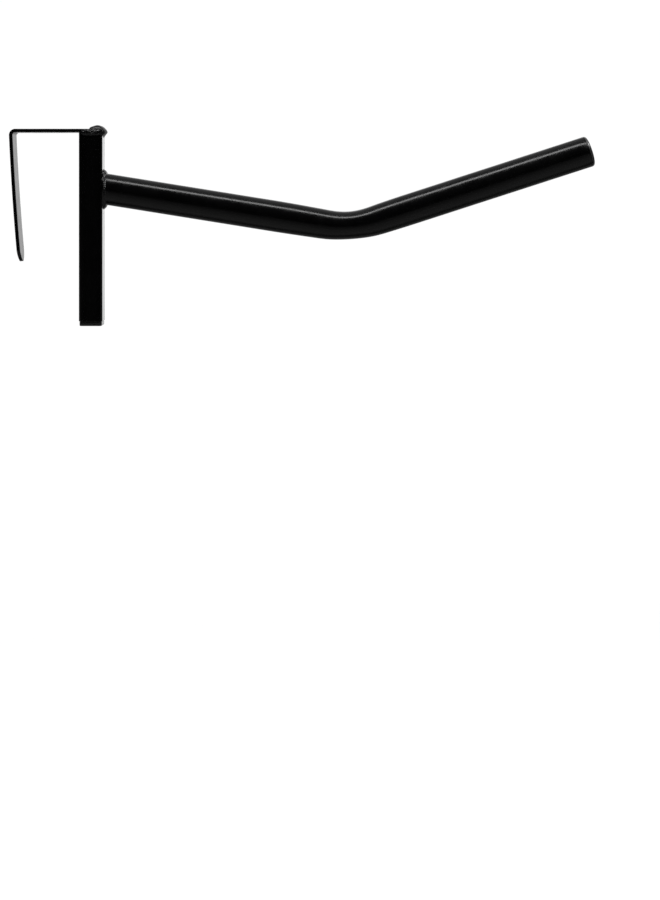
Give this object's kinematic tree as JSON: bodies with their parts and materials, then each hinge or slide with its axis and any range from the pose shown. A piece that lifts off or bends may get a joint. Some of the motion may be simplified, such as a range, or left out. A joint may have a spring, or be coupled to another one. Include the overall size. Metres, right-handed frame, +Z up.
{
  "type": "saddle rack",
  "caption": "Over-the-wall saddle rack: a flat-bar hanger hooks over a stall wall and a bent round arm stands out from a square post to carry a saddle.",
  "frame": {"origin": "centre of the underside of the hanger strap, over the wall it hooks on", "axes": "+X along the arm, away from the wall; +Z up; +Y across the width of the strap"},
  "size_m": [0.7895, 0.0448, 0.2701],
  "materials": {
    "painted_steel": "gloss black baked enamel over smooth steel",
    "painted_weld": "gloss black enamel over rippled weld metal",
    "plug_plastic": "satin black moulded polyethylene"
  },
  "bodies": {
    "root": {"hanger_strap": "painted_steel", "post_tube": "painted_steel", "post_end_plug": "plug_plastic", "arm_tube": "painted_steel", "arm_end_plug": "plug_plastic", "strap_weld_front": "painted_weld", "strap_weld_back": "painted_weld", "strap_weld_end": "painted_weld", "arm_weld": "painted_weld"}
  },
  "joints": []
}
